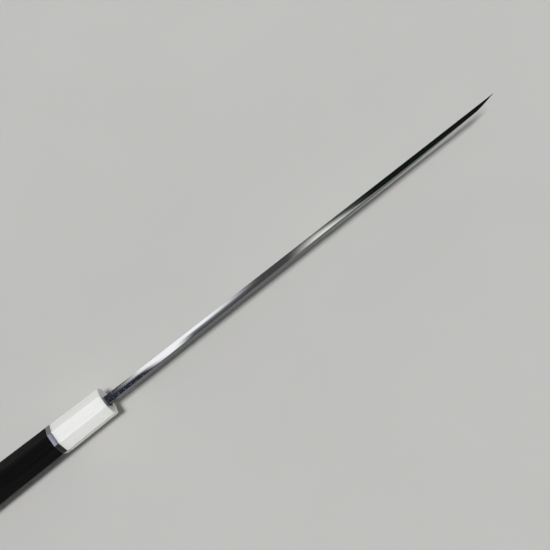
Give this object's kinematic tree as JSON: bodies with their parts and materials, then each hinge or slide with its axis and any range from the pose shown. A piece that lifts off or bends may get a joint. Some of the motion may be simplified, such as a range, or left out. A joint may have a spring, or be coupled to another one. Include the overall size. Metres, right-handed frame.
{
  "type": "yanagiba knife",
  "caption": "Single-bevel Japanese slicing knife with a long narrow blade, white octagonal ferrule, metal spacer ring and black octagonal wooden handle.",
  "frame": {"origin": "on the long axis of the handle, in the plane of the ferrule's front face", "axes": "+X along the handle axis towards the tip of the blade, +Z towards the spine, +Y towards the hollow-ground back of the blade, so the bevel is on -Y"},
  "size_m": [0.4642, 0.0234, 0.0394],
  "materials": {
    "soft_iron": "polished",
    "hard_steel": "polished",
    "white_horn": "polished",
    "nickel_silver": "satin",
    "black_wood": "satin",
    "light_wood": "plain",
    "bedding_resin": "plain",
    "seal_resin": "plain"
  },
  "bodies": {
    "root": {"blade_cladding": "soft_iron", "blade_steel": "hard_steel", "ferrule": "white_horn", "spacer_ring": "nickel_silver", "handle_body": "black_wood", "handle_dowel": "light_wood", "tang_bedding": "bedding_resin", "mouth_seal": "seal_resin"}
  },
  "joints": []
}
